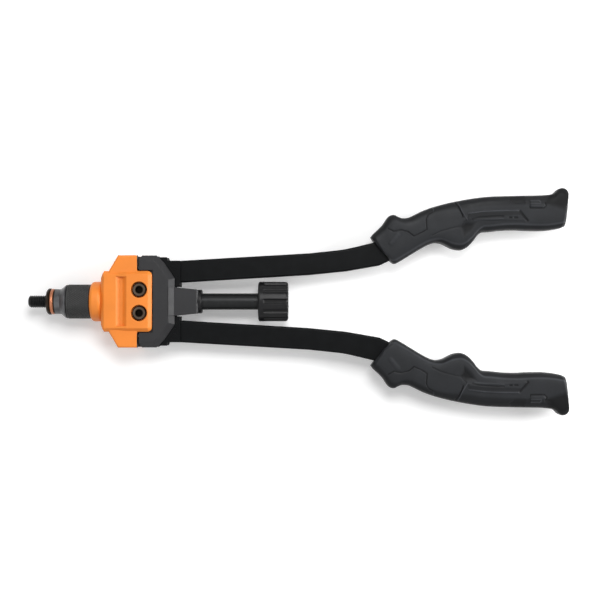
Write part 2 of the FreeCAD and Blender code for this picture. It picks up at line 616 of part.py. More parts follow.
# The grip's outline, as steps from its own ends and the tool line.
GRIP = [("grip_front", "62.6"), ("grip_front + 11", "73"), ("grip_front + 18", "81.9"),
        ("grip_front + 22.8", "83.6"), ("grip_front + 30.4", "80.6"), ("grip_front + 38.7", "82.2"),
        ("grip_front + 49.8", "87.4"), ("grip_front + 73", "94.6"), ("grip_front + 101", "99.8"),
        ("grip_front + 137", "101.9"), ("grip_rear - 25.6", "102.3"), ("grip_rear - 14.5", "103.6"),
        ("grip_rear - 10.4", "107.3"), ("grip_rear - 4.6", "109.8"), ("grip_rear", "106.4"),
        ("grip_rear", "98"), ("grip_rear - 3.5", "71.4"), ("grip_rear - 26.9", "68.4"),
        ("grip_rear - 52", "69"), ("grip_rear - 76", "66.8"), ("grip_rear - 87", "65.8"),
        ("grip_rear - 91.9", "60.4"), ("grip_rear - 98.9", "52.6"), ("grip_rear - 104.4", "49.6"),
        ("grip_rear - 112.7", "50.6"), ("grip_rear - 121", "55"), ("grip_rear - 128.6", "56.4"),
        ("grip_rear - 138.9", "52.8"), ("grip_front + 35.9", "43.4"), ("grip_front + 23.5", "35.4"),
        ("grip_front + 16.5", "42.6"), ("grip_front + 5.5", "54.5")]


# The stretch of the bar whose long edges are rounded, between the fork plates and the grip.
BAR_LENGTH = ("plate_rear - 2", "tang_end - 60", "-500", "500")


def make_arm_bar(label, side):
    body = new_body(label)
    root = [("bar_front", "bar_root_inner"), ("bar_front", "bar_root_outer"),
            ("bar_bend", "bar_bend_outer")]
    outline = root + BAR_OUTER + BAR_INNER + [("bar_bend", "bar_bend_inner"),
                                              ("plate_rear", "bar_root_inner")]
    bar = raised(body, "-bar_half_height", "bar_half_height", [flipped(side, outline)])
    bends = flipped(side, [("bar_bend", "bar_bend_outer"), BAR_OUTER[0], BAR_INNER[-1],
                           ("bar_bend", "bar_bend_inner")])
    bar = dress(body, bar, "Fillet", "bend_round", upright_at(bends))
    for level in ("bar_half_height", "-bar_half_height"):
        bar = dress(body, bar, "Fillet", "bar_round", flat_at(level, BAR_LENGTH))
    holes = [(x, y, "rivet_radius + fit_gap") for x, y in flipped(side, RIVETS)]
    raised(body, "-bar_half_height - 1", "bar_half_height + 1", circles=holes, cut=True)


def make_fork_plate(label, side, level):
    body = new_body(label)
    heights = sided(level, "bar_half_height", PLATE_TOP)
    raised(body, *heights, [flipped(side, PLATE)])
    raised(body, *heights, circles=[(x, y, "eye_radius") for x, y in flipped(side, PIVOTS[:1])])
    holes = [("pivot_x", "pivot_y", "pivot_bush_radius + fit_gap"),
             (PIN_X, PIN_Y, "drive_pin_radius + fit_gap / 2")]
    holes += [(x, y, "rivet_radius + fit_gap") for x, y in RIVETS]
    holes = [(x, y, radius) if side > 0 else (x, "-(%s)" % y, radius) for x, y, radius in holes]
    raised(body, "-(%s) - 1" % PLATE_TOP, "%s + 1" % PLATE_TOP, circles=holes, cut=True)


def make_pins(label, side, places, radius):
    """Pins that run through both fork plates, flush with their faces."""
    body = new_body(label)
    circles = [(x, y, radius) for x, y in flipped(side, places)]
    raised(body, "-(%s)" % PLATE_TOP, PLATE_TOP, circles=circles)


def make_grip(label, side):
    body = new_body(label)
    raised(body, "-grip_half_height", "grip_half_height", [flipped(side, GRIP)])
    socket = [("grip_front - tang_run_out", "bar_bend_outer + 8"), BAR_OUTER[1], BAR_OUTER[2], BAR_OUTER[3],
              BAR_OUTER[4], BAR_INNER[0], BAR_INNER[1], BAR_INNER[2], BAR_INNER[3], BAR_INNER[4],
              ("grip_front - tang_run_out", "bar_bend_inner")]
    height = "bar_half_height + tang_gap"
    raised(body, "-(%s)" % height, height, [flipped(side, socket)], cut=True)


for arm, side in (("upper", 1), ("lower", -1)):
    make_arm_bar(arm + "_arm_bar", side)
    make_fork_plate(arm + "_fork_plate_top", side, 1)
    make_fork_plate(arm + "_fork_plate_bottom", side, -1)
    make_pins(arm + "_drive_pin", side, [(PIN_X, PIN_Y)], "drive_pin_radius")
    make_pins(arm + "_fork_rivets", side, RIVETS, "rivet_radius")
    make_grip(arm + "_grip", side)


# --- Check and write ------------------------------------------------------------------------
doc.recompute()
for item in doc.Objects:
    if {"Invalid", "Error"} & set(item.State):
        raise RuntimeError("%s failed: %s" % (item.Name, item.State))
os.makedirs("parts", exist_ok=True)
for body in PARTS:
    if body.Shape.isNull() or not body.Shape.isValid():
        raise RuntimeError("%s has no valid shape" % body.Label)
for body in PARTS:
    body.Shape.exportStep("parts/%s.step" % body.Label)
    print(body.Label, len(body.Shape.Solids), round(body.Shape.Volume))
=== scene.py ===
import json
import math

import bmesh
import bpy
import numpy as np
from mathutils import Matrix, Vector


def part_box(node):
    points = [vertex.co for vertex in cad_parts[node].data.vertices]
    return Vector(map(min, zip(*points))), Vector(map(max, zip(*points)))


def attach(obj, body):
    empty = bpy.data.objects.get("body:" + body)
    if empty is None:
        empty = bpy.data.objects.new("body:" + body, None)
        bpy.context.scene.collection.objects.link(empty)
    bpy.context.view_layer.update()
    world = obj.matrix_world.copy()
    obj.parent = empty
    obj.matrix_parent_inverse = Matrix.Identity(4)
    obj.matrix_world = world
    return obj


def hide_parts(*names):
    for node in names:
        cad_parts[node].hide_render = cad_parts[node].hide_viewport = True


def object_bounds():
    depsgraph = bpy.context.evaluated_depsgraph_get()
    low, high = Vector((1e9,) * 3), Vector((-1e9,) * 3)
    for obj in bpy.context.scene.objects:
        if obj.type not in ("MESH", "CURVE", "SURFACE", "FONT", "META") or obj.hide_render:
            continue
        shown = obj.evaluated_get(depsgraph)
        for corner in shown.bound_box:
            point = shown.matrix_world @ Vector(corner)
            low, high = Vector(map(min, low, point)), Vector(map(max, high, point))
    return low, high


# A long-arm hand riveter for threaded inserts, lying on a pale floor. The mandrel points to -X,
# the grips to +X, and the tool line runs through the middle of the head. Lengths are in metres.

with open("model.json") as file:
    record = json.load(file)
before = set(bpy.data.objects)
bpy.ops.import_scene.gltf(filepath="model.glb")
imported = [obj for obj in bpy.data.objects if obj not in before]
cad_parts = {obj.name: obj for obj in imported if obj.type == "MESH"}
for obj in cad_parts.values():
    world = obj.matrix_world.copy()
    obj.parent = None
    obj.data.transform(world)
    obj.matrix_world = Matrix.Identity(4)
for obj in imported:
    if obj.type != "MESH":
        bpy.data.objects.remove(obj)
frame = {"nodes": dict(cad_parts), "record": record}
cad_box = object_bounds()
MM = 0.001


# --- Frame --------------------------------------------------------------------------------
low, high = [Vector(corner) for corner in cad_box]
mandrel_low, mandrel_high = [Vector(corner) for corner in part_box("mandrel")]
LINE_Y = (mandrel_low.y + mandrel_high.y) / 2
LINE_Z = (mandrel_low.z + mandrel_high.z) / 2
LENGTH = high.x - low.x
FLOOR_Z = low.z
# The wings end 8.2 mm behind the front of the covers' tongues. The tongues reach so far into the
# cavity, whose top and bottom lie 9.8 mm off the tool line, and the last 4.5 mm of it get painted
# shade.
WING_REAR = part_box("rear_cover_top")[0][0] + 8.2 * MM
CAVITY_HALF = 9.8 * MM
SHADED_DEPTH = 4.5 * MM


# --- Shader maths ---------------------------------------------------------------------------
class Field:
    """A value that changes over a surface. Sums, products and powers of fields add Math nodes."""

    def __init__(self, tree, socket):
        self.tree = tree
        self.socket = socket

    def math(self, operation, *values):
        return self.tree.node("ShaderNodeMath", {"operation": operation}, dict(enumerate(values)))

    def __add__(self, other):
        return self.math("ADD", self, other)

    def __radd__(self, other):
        return self.math("ADD", other, self)

    def __sub__(self, other):
        return self.math("SUBTRACT", self, other)

    def __rsub__(self, other):
        return self.math("SUBTRACT", other, self)

    def __mul__(self, other):
        return self.math("MULTIPLY", self, other)

    def __rmul__(self, other):
        return self.math("MULTIPLY", other, self)

    def __pow__(self, other):
        return self.math("POWER", self, other)

    def __abs__(self):
        return self.math("ABSOLUTE", self)

    def clamped(self, least=0.0, most=1.0):
        return self.math("MINIMUM", self.math("MAXIMUM", self, least), most)

    def between(self, start, end):
        """0 below start, 1 above end, and smooth in between."""
        return self.tree.node("ShaderNodeMapRange", {"interpolation_type": "SMOOTHSTEP"}, {
            "Value": self, "From Min": start, "From Max": end})


class Tree:
    """A node tree, whose nodes are added one call at a time."""

    def __init__(self, tree):
        self.tree = tree

    def node(self, kind, settings, sockets, output=0):
        """Add a node: its settings are set first, then each socket gets its value or link."""
        node = self.tree.nodes.new(kind)
        for key, value in settings.items():
            setattr(node, key, value)
        for key, value in sockets.items():
            if isinstance(value, Field):
                self.tree.links.new(value.socket, node.inputs[key])
            else:
                node.inputs[key].default_value = value
        return Field(self, node.outputs[output])

    def seen(self):
        """1 where the camera, a mirror or glass looks, and 0 for rays that only carry light."""
        rays = ("Is Camera Ray", "Is Glossy Ray", "Is Transmission Ray")
        return sum(self.node("ShaderNodeLightPath", {}, {}, ray) for ray in rays).clamped()


class Finish(Tree):
    """A material's tree, ended by its surface() call."""

    def __init__(self, name):
        self.material = bpy.data.materials.new(name)
        self.material.use_nodes = True
        super().__init__(self.material.node_tree)
        self.tree.nodes.clear()
        self.output = self.tree.nodes.new("ShaderNodeOutputMaterial")
        self.coordinates = self.node("ShaderNodeTexCoord", {}, {}, "Object")

    def axis(self, letter):
        """Where a surface point lies along one of the frame's axes."""
        return self.node("ShaderNodeSeparateXYZ", {}, {"Vector": self.coordinates}, letter)

    def noise(self, size, detail=3.0, roughness=0.55, stretch=(1, 1, 1)):
        """Noise whose lumps are about size metres across, stretched along the axes."""
        place = self.node("ShaderNodeMapping", {}, {"Vector": self.coordinates, "Scale": stretch})
        return self.node("ShaderNodeTexNoise", {}, {
            "Vector": place, "Scale": 1.0 / size, "Detail": detail, "Roughness": roughness})

    def cells(self, size):
        """Distance to the nearest of many scattered points, about size metres apart."""
        return self.node("ShaderNodeTexVoronoi", {}, {
            "Vector": self.coordinates, "Scale": 1.0 / size})

    def mixed(self, factor, first, second):
        """A colour between two colours."""
        return self.node("ShaderNodeMix", {"data_type": "RGBA"}, {
            0: factor, 6: first, 7: second}, 2)

    def bumped(self, height, depth, rounding=0.0):
        """A normal bent by a height field, depth metres deep, over edges rounded by a radius."""
        sockets = {"Height": height, "Strength": 1.0, "Distance": depth}
        if rounding:
            sockets["Normal"] = self.node("ShaderNodeBevel", {"samples": 6}, {"Radius": rounding})
        return self.node("ShaderNodeBump", {}, sockets)

    def with_painted_light(self, colour, deepest=0.2, lightest=2.6):
        """A colour with painted light: darker as painted shade where a piece's painted light is
        below 0, and lighter as painted highlight where it is above.
        """
        painted_light = self.node("ShaderNodeAttribute", {"attribute_name": "painted_light"}, {}, 2)
        dark = self.node("ShaderNodeMix", {"data_type": "RGBA", "blend_type": "MULTIPLY"}, {
            0: (painted_light * -1).clamped(), 6: colour, 7: (deepest, deepest, deepest, 1.0)}, 2)
        gain = 1 + painted_light.clamped() * (lightest - 1)
        return self.node("ShaderNodeVectorMath", {"operation": "SCALE"}, {0: dark, "Scale": gain})

    def surface(self, sockets):
        """The principled shader that ends the material."""
        shader = self.node("ShaderNodeBsdfPrincipled", {}, sockets)
        self.tree.links.new(shader.socket, self.output.inputs["Surface"])
        return self.material


def shade(colour, factor):
    """A colour made lighter or darker, with alpha 1."""
    return tuple(min(1.0, channel * factor) for channel in colour) + (1.0,)


def moulded(name, colour, grain, depth, roughness, rounding=0.0, specular=0.35):
    """Moulded plastic: fine spark-eroded grain, faint cloudiness, and dull handled patches."""
    finish = Finish(name)
    speckle = finish.noise(grain, detail=2.0)
    cloud = finish.noise(30 * MM, detail=4.0)
    pores = 1 - finish.cells(grain * 1.6).between(0.0, 0.7)
    height = speckle * 0.7 + pores * 0.5
    worn = finish.noise(12 * MM, detail=5.0).between(0.45, 0.8)
    base = finish.mixed(cloud.between(0.3, 0.7), shade(colour, 0.88), shade(colour, 1.12))
    # painted shade and highlights from a piece's painted light attribute, where it has one
    base = finish.with_painted_light(finish.mixed(worn * 0.25, base, shade(colour, 1.45)))
    rough = (roughness + speckle * 0.12 - worn * 0.1).clamped(0.05, 1.0)
    return finish.surface({
        "Base Color": base, "Roughness": rough, "Specular IOR Level": specular,
        "Normal": finish.bumped(height, depth, rounding)})


def lacquered(name, colour, rounding, joint, inner):
    """Orange powder paint: low orange-peel waves, fine grain and slightly paler rubbed spots. It is
    painted near black as shade behind the joint's station beyond the inner half width, and on the
    rear part of the cavity's top and bottom, where shade falls in the gap and the cavity."""
    finish = Finish(name)
    peel = finish.noise(1.6 * MM, detail=1.0)
    grain = finish.noise(0.35 * MM, detail=2.0)
    cloud = finish.noise(24 * MM, detail=4.0)
    rubbed = finish.noise(5 * MM, detail=6.0, roughness=0.7).between(0.62, 0.8)
    base = finish.mixed(cloud.between(0.3, 0.7), shade(colour, 0.95), shade(colour, 1.04))
    base = finish.mixed(rubbed * 0.12, base, shade(colour, 1.3))
    station = finish.axis("X")
    outboard = abs(finish.axis("Y") - LINE_Y).between(inner, inner + 0.2 * MM)
    ends = outboard * station.between(joint - 0.2 * MM, joint - 0.1 * MM)
    height = abs(finish.axis("Z") - LINE_Z) - CAVITY_HALF
    cavity_faces = 1 - height.between(0.1 * MM, 0.3 * MM)
    rear = (station - (joint - SHADED_DEPTH)).between(-0.1 * MM, 0.1 * MM)
    painted_shade = (ends + cavity_faces * rear).clamped()
    # painted shade: near black on the wings' rear ends and the cavity's rear top and bottom
    base = finish.mixed(painted_shade, base, (0.012, 0.011, 0.01, 1.0))
    return finish.surface({
        "Base Color": base, "Roughness": 0.38 + grain * 0.12 + rubbed * 0.1,
        "Normal": finish.bumped(peel * 0.6 + grain * 0.4, 0.04 * MM, rounding),
        "Specular IOR Level": 0.3})


def screw_socket_shade(finish):
    """Painted shade: 1 in the pivot screws' sockets, round their rims and below their tops, where
    shade falls, and 0 on the faces between. The heads are 6.5 mm in radius, one on each side of the
    tool line."""
    front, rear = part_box("pivot_screws")
    along = finish.axis("X") - (front[0] + rear[0]) / 2
    aside = abs(finish.axis("Y") - LINE_Y) - (rear[1] - 6.5 * MM - LINE_Y)
    reach = (along ** 2 + aside ** 2) ** 0.5
    top_ring = finish.axis("Z").between(rear[2] - 1.0 * MM, rear[2] - 0.3 * MM)
    top_ring = top_ring * reach.between(3.3 * MM, 4.4 * MM) * (1 - reach.between(5.3 * MM, 6.2 * MM))
    return 1 - top_ring


def metal(name, colour, roughness, scratch, rounding=0.0, metallic=1.0, specular=0.5, socket_shade=None):
    """Metal with drawn or turned scratches, oily patches and darker stains. A socket-shade function
    of the finish, if one is given, says where shade is painted black."""
    finish = Finish(name)
    lines = finish.noise(0.25 * MM, detail=3.0, stretch=scratch)
    patches = finish.noise(9 * MM, detail=5.0)
    stain = finish.noise(3 * MM, detail=6.0, roughness=0.7).between(0.55, 0.75)
    base = finish.mixed(patches.between(0.35, 0.7), shade(colour, 0.82), shade(colour, 1.15))
    # painted shade and highlights from a piece's painted light attribute, where it has one
    base = finish.with_painted_light(finish.mixed(stain * 0.35, base, shade(colour, 0.55)))
    if socket_shade is not None:
        # painted shade: black where the socket-shade function gives 1
        base = finish.mixed(socket_shade(finish) * 0.92, base, (0.0, 0.0, 0.0, 1.0))
    rough = (roughness + lines * 0.16 + patches * 0.12 - 0.1).clamped(0.08, 1.0)
    return finish.surface({
        "Base Color": base, "Roughness": rough, "Metallic": metallic,
        "Specular IOR Level": specular, "Normal": finish.bumped(lines, 0.02 * MM, rounding)})


# --- Meshes from grids ------------------------------------------------------------------------
def ramp(values, start, end):
    """0 at start, 1 at end, and a smooth S between them."""
    t = np.clip((values - start) / (end - start), 0.0, 1.0)
    return t * t * (3.0 - 2.0 * t)


def piece(name, points, material, body, node, ring=False, painted_light=None):
    """A skin over a grid of points[row, step], each row a closed loop round the piece. It is closed
    by a fan on each end's middle, or as a ring, where the last row joins the first. Painted light
    for each point, from -1 to 1, may darken the material as painted shade or lighten it as painted
    highlight. The piece stands for a CAD node."""
    rows, steps, _ = points.shape
    bands = rows if ring else rows - 1
    i, j = np.meshgrid(np.arange(bands), np.arange(steps), indexing="ij")
    following = (i + 1) % rows
    quads = np.stack([i * steps + j, i * steps + (j + 1) % steps,
                      following * steps + (j + 1) % steps, following * steps + j], axis=-1)
    faces = quads.reshape(-1, 4).tolist()
    vertices = points.reshape(-1, 3)
    if not ring:
        step = np.arange(steps)
        after = (step + 1) % steps
        last = (rows - 1) * steps
        front_middle, rear_middle = np.full(steps, rows * steps), np.full(steps, rows * steps + 1)
        faces += np.stack([after, step, front_middle], axis=-1).tolist()
        faces += np.stack([last + step, last + after, rear_middle], axis=-1).tolist()
        vertices = np.vstack([vertices, points[0].mean(axis=0), points[-1].mean(axis=0)])
    mesh = bpy.data.meshes.new(name)
    mesh.from_pydata(vertices.tolist(), [], faces)
    if painted_light is not None:
        values = np.zeros(len(vertices), dtype=np.float32)
        values[:painted_light.size] = painted_light.ravel()
        mesh.attributes.new("painted_light", "FLOAT", "POINT").data.foreach_set("value", values)
    outward = bmesh.new()
    outward.from_mesh(mesh)
    bmesh.ops.recalc_face_normals(outward, faces=outward.faces)
    outward.to_mesh(mesh)
    outward.free()
    mesh.shade_smooth()
    mesh.materials.append(material)
    thing = bpy.data.objects.new(name, mesh)
    bpy.context.scene.collection.objects.link(thing)
    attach(thing, body)
    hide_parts(node)


def around_line(x, radius, angle):
    """Points at a station, radius and angle about the tool line, each given as a grid."""
    return np.stack([x, LINE_Y + radius * np.cos(angle), LINE_Z + radius * np.sin(angle)], axis=-1)


def turned_grid(corners, steps):
    """Grids of station, radius and angle from (station, radius) corners in millimetres."""
    corners = np.array(corners) * MM
    angle = np.linspace(0.0, 2 * math.pi, steps, endpoint=False)
    x, turn = np.meshgrid(corners[:, 0], angle, indexing="ij")
    return x, np.repeat(corners[:, 1:2], steps, axis=1), turn


def stretch(start, end, radius, pitch):
    """Corners along a plain stretch of one radius, about a pitch apart."""
    count = max(2, int(abs(end - start) / pitch) + 1)
    return [(x, radius) for x in np.linspace(start, end, count)]


def saw(cycles):
    """0 at each whole number and 1 halfway between, in straight lines."""
    return 1 - np.abs(2 * (cycles % 1.0) - 1)


def make_mandrel(material):
    """A stud with an M12 x 1.75 helical thread: the radius falls by 0.9 where saw(x / 1.75 - turn)
    is high, and the thread runs out at the tip's chamfer and at the neck."""
    front, rear = [corner[0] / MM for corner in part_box("mandrel")]
    neck = front + 18.0
    corners = [(front, 3.9), (front + 0.6, 4.9)] + stretch(front + 1.6, neck, 6.0, 0.16)
    corners += [(neck + 0.9, 5.0), (neck + 1.5, 5.0), (neck + 1.7, 6.0), (rear, 6.0)]
    x, radius, turn = turned_grid(corners, 72)
    place = x / MM
    bite = ramp(place, front + 0.4, front + 2.0) * ramp(neck - place, 0.0, 0.8)
    radius = radius - 0.9 * MM * saw(place / 1.75 - turn / (2 * math.pi)) * bite
    piece("mandrel_thread", around_line(x, radius, turn), material,
          "spindle", "mandrel")


def make_sleeve(material):
    """A sleeve with a diamond knurl: two sets of 56 straight grooves, leaning 30 degrees each way,
    cut 0.35 deep where saw(56 turn / 2 pi +- x / pitch) is low."""
    front, rear = [corner[0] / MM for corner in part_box("nose_sleeve")]
    outer, bore, teeth = 16.5, 13.05, 56
    corners = [(front, bore), (front, outer - 1.1), (front + 0.35, outer - 0.55)]
    corners += stretch(front + 1.0, rear - 1.0, outer, 0.24)
    corners += [(rear - 0.35, outer - 0.55), (rear, outer - 1.1), (rear, bore)]
    x, radius, turn = turned_grid(corners, teeth * 7)
    place, around = x / MM, teeth * turn / (2 * math.pi)
    lean = place * teeth / (2 * math.pi * outer) * math.tan(math.radians(30))
    cut = np.maximum(ramp(0.42 - saw(around + lean), 0.0, 0.4),
                     ramp(0.42 - saw(around - lean), 0.0, 0.4))
    knurled = ramp(place, front + 1.0, front + 1.8) * ramp(rear - 1.0 - place, 0.0, 0.8)
    radius = radius - 0.35 * MM * cut * knurled
    # painted shade darkens the knurl's grooves and a painted highlight lightens its crests
    piece("nose_sleeve_knurl", around_line(x, radius, turn), material,
          "nose_sleeve", "nose_sleeve", ring=True, painted_light=(0.35 - 1.2 * cut) * knurled)


def make_knob(material):
    """A knob with 12 round-bottomed flutes behind a smooth rim: the radius falls by up to 1.5
    where the turn is near a flute, and each flute's front end runs out on a quarter round."""
    front, rear = [corner[0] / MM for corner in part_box("knob")]
    outer, bore, mouth, flutes = 19.25, 5.05, 9.5, 12
    corners = [(rear - 6.0, mouth), (rear - 6.0, bore), (front, bore), (front, outer - 3.6)]
    corners += [(front + 1.6 - 1.6 * math.cos(a), outer - 2.4 + 2.4 * math.sin(a) - 0.02)
                for a in np.radians(np.linspace(0, 90, 7))]
    corners += stretch(front + 1.9, rear - 3.0, outer, 0.4)
    corners += [(rear - 2.8 + 2.8 * math.sin(a), outer - 2.8 + 2.8 * math.cos(a))
                for a in np.radians(np.linspace(6, 90, 9))]
    corners += [(rear, mouth)]
    x, radius, turn = turned_grid(corners, flutes * 30)
    place = x / MM
    off = np.abs((flutes * turn / (2 * math.pi) + 0.5) % 1.0 - 0.5)
    flute = ramp(0.24 - off, 0.0, 0.13) * ramp(place, front + 5.0, front + 6.6) * (radius > 14 * MM)
    radius = radius - 1.5 * MM * flute
    # painted shade darkens the flutes
    piece("knob_moulding", around_line(x, radius, turn), material,
          "spindle", "knob", ring=True, painted_light=-0.8 * flute)


# --- Grips ------------------------------------------------------------------------------------
# A grip's two edges in its own plan, in millimetres: along from the grip's front end, and out from
# the tool line. The upper grip is drawn, and the lower one is its mirror image.
GRIP_OUTER = [(0.0, 62.6), (4.2, 66.6), (11.2, 73.4), (15.6, 79.8), (18.6, 82.8), (22.8, 83.7),
              (26.4, 82.0), (30.6, 80.6), (36.4, 81.0), (41.6, 83.2), (49.8, 87.2), (60.0, 91.0),
              (73.2, 94.6), (87.0, 97.5), (101.0, 99.8), (115.0, 101.3), (137.0, 102.0),
              (160.0, 102.4), (170.0, 103.0), (175.6, 104.0), (178.6, 106.0), (181.4, 108.6),
              (185.4, 109.8), (188.9, 108.6), (190.8, 105.6), (190.6, 101.4)]
GRIP_INNER = [(14.0, 44.6), (17.6, 40.6), (20.8, 37.4), (24.0, 36.4), (28.6, 38.6), (35.9, 43.0),
              (45.0, 48.6), (53.0, 53.2), (58.4, 55.6), (63.4, 56.6), (69.0, 55.6), (74.0, 53.2),
              (79.6, 50.6), (87.1, 49.6), (93.0, 52.0), (98.6, 57.4), (103.0, 63.2), (107.6, 66.6),
              (115.5, 67.4), (127.0, 68.6), (139.5, 69.0), (152.0, 68.4), (164.6, 68.3),
              (174.0, 69.0), (181.0, 70.2), (187.0, 71.4)]


def smooth_edge(corners, share):
    """A Catmull-Rom curve through corners, read at shares of its length."""
    points = np.array(corners)
    points = np.vstack([2 * points[0] - points[1], points, 2 * points[-1] - points[-2]])
    knots = np.linspace(0, len(points) - 3, 1600)
    k = np.minimum(knots.astype(int), len(points) - 4)
    t = (knots - k)[:, None]
    p0, p1, p2, p3 = points[k], points[k + 1], points[k + 2], points[k + 3]
    curve = 0.5 * (2 * p1 + (p2 - p0) * t + (2 * p0 - 5 * p1 + 4 * p2 - p3) * t ** 2
                   + (3 * p1 - p0 - 3 * p2 + p3) * t ** 3)
    travelled = np.concatenate([[0], np.cumsum(np.linalg.norm(np.diff(curve, axis=0), axis=1))])
    wanted = share * travelled[-1]
    return np.stack([np.interp(wanted, travelled, curve[:, k]) for k in (0, 1)], axis=-1)


def off_line(u, v, corners):
    """How far plan points are from a line through corners."""
    nearest = np.full(u.shape, 1e3)
    for (u0, v0), (u1, v1) in zip(corners[:-1], corners[1:]):
        du, dv = u1 - u0, v1 - v0
        t = np.clip(((u - u0) * du + (v - v0) * dv) / (du * du + dv * dv), 0.0, 1.0)
        nearest = np.minimum(nearest, np.hypot(u - u0 - t * du, v - v0 - t * dv))
    return nearest


def inside(u, v, corners, blend):
    """1 inside a convex outline whose corners run clockwise, falling to 0 over a blend width."""
    depth = np.full(u.shape, 1e3)
    for (u0, v0), (u1, v1) in zip(corners, corners[1:] + corners[:1]):
        size = math.hypot(u1 - u0, v1 - v0)
        depth = np.minimum(depth, ((v1 - v0) * (u - u0) - (u1 - u0) * (v - v0)) / size)
    return ramp(depth, -blend / 2, blend / 2)


# Lines on the grip's faces: half width, depth (negative stands proud), painted light (below 0
# painted shade, above 0 painted highlight) and plan corners.
GRIP_LINES = [
    (0.8, 0.7, -0.9, [(16.6, 69.8), (21.9, 67.1), (29.1, 68.4), (36.1, 66.6), (41.1, 62.6),
                      (49.1, 66.0), (53.6, 69.1), (52.9, 79.1), (54.9, 83.1), (60.1, 86.3)]),
    (0.8, 0.6, 0.6, [(60.1, 86.3), (60.6, 88.4), (59.9, 91.0)]),
    (1.0, 0.9, -0.8, [(80.0, 97.8), (81.1, 94.1), (84.6, 89.9), (86.8, 84.9), (88.2, 80.8)]),
    (0.6, -0.4, 0.9, [(83.6, 94.6), (85.3, 91.4), (87.6, 85.9), (92.5, 78.4)]),
    (0.7, -0.4, 1.0, [(93.5, 84.4), (99.6, 85.2), (108.1, 86.3), (124.2, 87.1), (141.7, 87.3)]),
    (1.9, 0.9, -0.9, [(142.4, 86.2), (144.9, 83.4), (147.9, 79.8), (149.9, 77.4)]),
    (0.6, -0.4, 0.5, [(99.0, 77.4), (110.0, 78.4), (127.0, 79.2)]),
    (1.0, 0.5, -0.7, [(96.9, 78.7), (102.4, 80.0), (110.6, 80.8), (121.5, 81.4), (127.0, 81.4)]),
    (1.0, 0.9, -0.9, [(132.4, 80.3), (134.6, 80.3)]),
    (1.0, 0.9, -0.9, [(137.2, 80.3), (140.2, 80.3)]),
    (0.7, 0.6, -0.5, [(147.4, 100.6), (147.4, 94.1), (137.2, 94.1), (132.4, 97.5)]),
    (0.6, -0.4, 0.8, [(152.9, 96.4), (161.1, 96.7), (162.7, 94.8)]),
    (0.6, -0.4, 0.6, [(152.9, 93.7), (162.7, 93.7)]),
    (0.8, 0.6, -0.9, [(152.3, 90.6), (152.3, 89.3), (165.9, 89.3), (168.2, 92.0), (166.6, 95.0)]),
    (0.8, 0.5, -0.5, [(58.7, 63.1), (66.8, 67.2), (77.8, 70.2), (86.7, 72.1), (89.0, 75.7),
                      (91.4, 77.6)]),
    (3.0, -0.5, 0.2, [(26.1, 64.0), (22.1, 59.3), (19.4, 56.0)]),
]
# Raised and lowered fields of the faces: step in height, blend width, painted light (below 0
# painted shade, above 0 painted highlight) and clockwise corners.
GRIP_FIELDS = [
    (0.7, 1.6, 0.0, [(93.0, 78.4), (94.4, 84.8), (108.1, 86.6), (141.7, 87.8), (149.9, 77.0)]),
    (0.7, 0.8, 0.1, [(152.6, 90.6), (152.6, 97.0), (162.0, 97.2), (167.0, 93.0), (165.0, 89.9)]),
    (-0.6, 0.8, -0.25, [(133.0, 97.4), (134.5, 103.0), (147.0, 103.0), (147.0, 94.5),
                        (137.2, 94.5)]),
    (-1.2, 5.0, -0.9, [(86.0, 71.6), (90.7, 75.3), (99.0, 74.4), (94.8, 68.0), (89.5, 63.4)]),
    (-0.8, 6.0, -1.0, [(168.0, 94.0), (176.0, 108.0), (189.0, 112.0), (193.0, 96.0),
                       (186.0, 88.0)]),
    (0.0, 1.0, -0.5, [(94.2, 80.4), (94.8, 83.8), (108.1, 85.2), (141.0, 86.0), (144.0, 83.0)]),
]


def grip_relief(u, v, outer_gap, inner_gap):
    """How high a grip's face stands over its plan, in millimetres, and the light painted on it.

    The face is about 11 high at the front end and 12.8 behind it, with a rim 0.8 lower along the
    inner edge and a belt 0.5 lower along the outer edge. Painted shade darkens the rim and a band
    along the outer edge, and a painted highlight makes the rim's border paler. Fields and lines are
    added to that, with painted shade in most grooves and lowered fields and painted highlights on
    proud lines."""
    height = 12.3 + 0.5 * ramp(u, 10.0, 60.0) - 1.1 * ramp(28.0 - u, 0.0, 26.0)
    painted_light = np.zeros_like(u)
    for step, blend, shadow, corners in GRIP_FIELDS:
        field = inside(u, v, corners, blend)
        height += step * field
        painted_light += shadow * field
    rim = 3.4 + 2.0 * ramp(u, 60.0, 74.0)
    height -= 0.8 * ramp(rim - inner_gap, 0.0, 1.4)
    # painted highlight along the rim's border, painted shade inside the rim and along the outer
    # edge
    painted_light += 0.55 * ramp(1.3 - abs(inner_gap - rim), 0.0, 0.9)
    painted_light -= 0.5 * ramp(rim - 0.8 - inner_gap, 0.0, 0.8)
    height -= 0.5 * ramp(4.6 - outer_gap, 0.0, 1.2) * ramp(u, 56.0, 64.0)
    painted_light -= 0.55 * ramp(7.4 + 3.6 * ramp(u, 60.0, 100.0) - outer_gap, 0.0, 3.0)
    for width, depth, shadow, corners in GRIP_LINES:
        line = ramp(width - off_line(u, v, corners), 0.0, width * 0.8)
        height -= depth * line
        painted_light = painted_light * (1 - line) + shadow * line
    return height, painted_light


def grip_section(steps):
    """Steps evenly far round a rounded square where x^4 + z^4 = 1."""
    angle = np.linspace(0.0, 2 * math.pi, 4001)
    across = np.sign(np.cos(angle)) * np.abs(np.cos(angle)) ** 0.5
    up = np.sign(np.sin(angle)) * np.abs(np.sin(angle)) ** 0.5
    travelled = np.concatenate([[0], np.cumsum(np.hypot(np.diff(across), np.diff(up)))])
    wanted = np.linspace(0.0, travelled[-1], steps, endpoint=False)
    return np.interp(wanted, travelled, across), np.interp(wanted, travelled, up)


